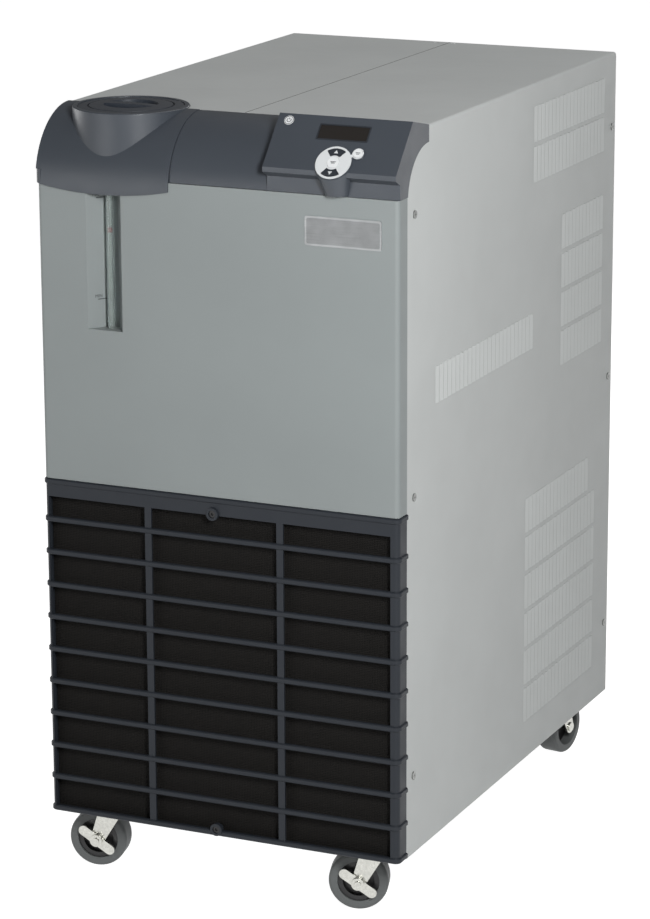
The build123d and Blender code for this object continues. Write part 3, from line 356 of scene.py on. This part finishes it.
# Marks on the keys: triangles on the arrows, two bars on each of the light ones
key_column = 160
key_print = (slope_at(2.7), slope_at(2.76))
for key, rise, way in (("up_key", 26.0, 1), ("down_key", -3.2, -1)):
    base = rise - 2 * way
    triangle = [(key_column - 2.8, base), (key_column + 2.8, base), (key_column, rise + 2.4 * way)]
    if way < 0:
        triangle.reverse()
    prism(key + "_arrow", triangle, *key_print, film_white, key, "keypad_film")
for key, centre, width in (("enter_key", (key_column, 11.4), 7), ("cancel_key", (187.7, 26), 6)):
    for row, part in ((0.9, 1), (-0.9, 0.7)):
        prism(
            f"{key}_line_{row}", rounded((centre[0], centre[1] + row), width * part, 0.9, 0.3, 2),
            *key_print, mark_dark, key, "key_plastic",
        )

# Ring, arc and bar on the power button
power = (85.3, 66.8)
button_print = (slope_at(0.4), slope_at(0.46))
button_look = (mark_dark, "power_button", "key_plastic")
ring("power_rim", power, 5.0, 5.7, 0, 360, *button_print, *button_look)
ring("power_arc", power, 2.2, 3.0, 125, 415, *button_print, *button_look)
prism(
    "power_bar", rounded((power[0], power[1] + 2.2), 0.8, 3, 0.3, 2),
    *button_print, *button_look,
)

# Frame round the display
window = (160.3, 54.2)
outer = rounded(window, 67, 22.5, 1.5)
inner = rounded(window, 63.6, 19.1, 0.8)
count = len(outer)
vertices = [on_slope(x, rise, lift) for lift in (0.35, -0.05) for x, rise in outer + inner]
faces = []
for index in range(count):
    after = (index + 1) % count
    faces.append((index, after, after + count, index + count))
    faces.append((after, index, index + 2 * count, after + 2 * count))
    faces.append((index + count, after + count, after + 3 * count, index + 3 * count))
piece("display_frame", vertices, faces, key_dark, "cabinet")


def level_mark(word, height):
    """A fill mark with its word on the left wall of the gauge recess."""
    wall = Vector((16, 24, 0)).normalized()
    out = Vector((24, -16, 0)).normalized()
    start = Vector((-174.6, 0.6, 0))

    def at(lift):
        def put(along, up):
            point = start + wall * along + out * lift
            return place(point.x, point.y, height + up)

        return put

    bar = [(14, -0.6), (26, -0.6), (26, 0.6), (14, 0.6)]
    prism(f"mark_{word}", bar, at(0.1), at(0.22), mark_dark, "cabinet", "key_plastic")
    curve =bpy.data.curves.new(f"text_{word}", "FONT")
    curve.body = word
    curve.size = 0.0058
    curve.extrude = 0.00006
    curve.align_x = "CENTER"
    text = bpy.data.objects.new(f"text_{word}", curve)
    middle = start + wall * 15 + out * 0.2
    rows = Matrix((wall, Vector((0, 0, 1)), wall.cross(Vector((0, 0, 1))))).transposed().to_4x4()
    text.matrix_world = Matrix.Translation(place(middle.x, middle.y, height + 2.2)) @ rows
    curve.materials.append(mark_dark)
    scene.collection.objects.link(text)
    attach(text, "cabinet")


level_mark("MAX", 804)
level_mark("MIN", 677)


def cross(name, centre, across, upward, outward):
    """Painted shade: a flat dark cross on a panel screw's head, standing in for the shaded hollow
    of its recess.
    """
    across, upward, outward = Vector(across), Vector(upward), Vector(outward)
    arm = 0.0026
    half = 0.00045
    shape = [
        (half, half), (arm, half), (arm, -half), (half, -half), (half, -arm), (-half, -arm),
        (-half, -half), (-arm, -half), (-arm, half), (-half, half), (-half, arm), (half, arm),
    ]

    def at(lift):
        return lambda x, y: centre + across * x + upward * y + outward * lift

    # The cross takes the black enamel material, but its darkness is painted shade for the recess
    prism(name, shape[::-1], at(-0.0001), at(0.00005), enamel_and_recess_shade, "cabinet", "black_enamel")


head = 1.6
side_face = 242
back_face = 745
screw_heights = (103, 460, 808)
UP = (0, 0, 1)
for side in (-1, 1):
    for setback in (46, back_face - 13):
        for height in screw_heights:
            centre = place(side * (side_face + head), setback, height)
            cross(f"cross_{side}_{setback}_{height}", centre, (0, side, 0), UP, (side, 0, 0))
for x in (-223.5, 223.5):
    for height in screw_heights:
        centre = place(x, back_face + head, height)
        cross(f"cross_back_{x}_{height}", centre, (-1, 0, 0), UP, (0, 1, 0))


# Floor, light and camera
def stage_material(name, glow, tone):
    shader = Shader(name)
    shader.colour_between(shader.noise(3), shade(tone, 0.99), tone)
    shader.set(Roughness=0.8)
    tree = shader.tree
    output = tree.nodes["Material Output"]
    path = shader.node("ShaderNodeLightPath")
    seen = shader.node("ShaderNodeMath", operation="MAXIMUM")
    shader.link(path.outputs["Is Camera Ray"], seen.inputs[0])
    shader.link(path.outputs["Is Glossy Ray"], seen.inputs[1])
    also = shader.node("ShaderNodeMath", operation="MAXIMUM")
    shader.link(seen.outputs[0], also.inputs[0])
    shader.link(path.outputs["Is Transmission Ray"], also.inputs[1])
    emission = shader.node("ShaderNodeEmission")
    emission.inputs["Color"].default_value = (1, 1, 1, 1)
    strength = shader.node("ShaderNodeMath", operation="MULTIPLY")
    strength.inputs[1].default_value = glow
    shader.link(also.outputs[0], strength.inputs[0])
    shader.link(strength.outputs[0], emission.inputs["Strength"])
    both = shader.node("ShaderNodeAddShader")
    shader.link(shader.surface.outputs[0], both.inputs[0])
    shader.link(emission.outputs[0], both.inputs[1])
    shader.link(both.outputs[0], output.inputs["Surface"])
    return shader.material


reach = 30
corners = [(-reach, -reach, 0), (reach, -reach, 0), (reach, reach, 0), (-reach, reach, 0)]
floor_mesh = bpy.data.meshes.new("floor")
floor_mesh.from_pydata(corners, [], [(0, 1, 2, 3)])
floor = bpy.data.objects.new("floor", floor_mesh)
floor_mesh.materials.append(stage_material("floor", 0.94, (0.45, 0.45, 0.45, 1)))
scene.collection.objects.link(floor)

world = bpy.data.worlds.new("studio")
scene.world = world
world.use_nodes = True
tree = world.node_tree
background = tree.nodes["Background"]
background.inputs["Color"].default_value = (1, 1, 1, 1)
path = tree.nodes.new("ShaderNodeLightPath")
seen = tree.nodes.new("ShaderNodeMath")
seen.operation = "MAXIMUM"
tree.links.new(path.outputs["Is Camera Ray"], seen.inputs[0])
tree.links.new(path.outputs["Is Transmission Ray"], seen.inputs[1])
strength = tree.nodes.new("ShaderNodeMapRange")
strength.inputs["To Min"].default_value = 0.14
strength.inputs["To Max"].default_value = 1.0
tree.links.new(seen.outputs[0], strength.inputs["Value"])
tree.links.new(strength.outputs["Result"], background.inputs["Strength"])


def lamp(name, location, target, power, size):
    light = bpy.data.lights.new(name, "AREA")
    light.energy = power
    light.shape = "RECTANGLE"
    light.size, light.size_y = size
    made = bpy.data.objects.new(name, light)
    made.location = location
    made.rotation_euler = (Vector(target) - Vector(location)).to_track_quat("-Z", "Y").to_euler()
    scene.collection.objects.link(made)


lamp("key", (1.35, -1.9, 1.5), (0.25, -0.2, 0.7), 46, (0.35, 0.6))
lamp("front_fill", (-1.4, -3.0, 0.9), (0, 0, 0.5), 12, (1.8, 1.4))
lamp("top", (0.0, 1.2, 2.9), (0, 0, 0.9), 12, (1.2, 1.2))
lamp("left_fill", (-3.0, 0.2, 1.1), (0, 0, 0.5), 22, (1.4, 1.4))
lamp("back_fill", (0.1, 3.3, 0.9), (0, 0, 0.5), 18, (1.2, 1.2))

camera_data = bpy.data.cameras.new("camera")
camera_data.sensor_fit = "AUTO"
camera_data.sensor_width = 36
camera_data.lens = 3498.724 / 919 * 36
camera_data.clip_end = 100
camera = bpy.data.objects.new("camera", camera_data)
yaw, pitch, roll = radians(24.4574), radians(14.8681), radians(-0.2559)
back = Vector((sin(yaw) * cos(pitch), -cos(yaw) * cos(pitch), sin(pitch)))
right = Vector((cos(yaw), sin(yaw), 0))
up = back.cross(right)
turned_right = cos(roll) * right + sin(roll) * up
turned_up = cos(roll) * up - sin(roll) * right
turn = Matrix((turned_right, turned_up, back)).transposed().to_4x4()
camera.matrix_world = Matrix.Translation(place(1834.55, -3714.62, 1591.79)) @ turn
scene.collection.objects.link(camera)
scene.camera = camera
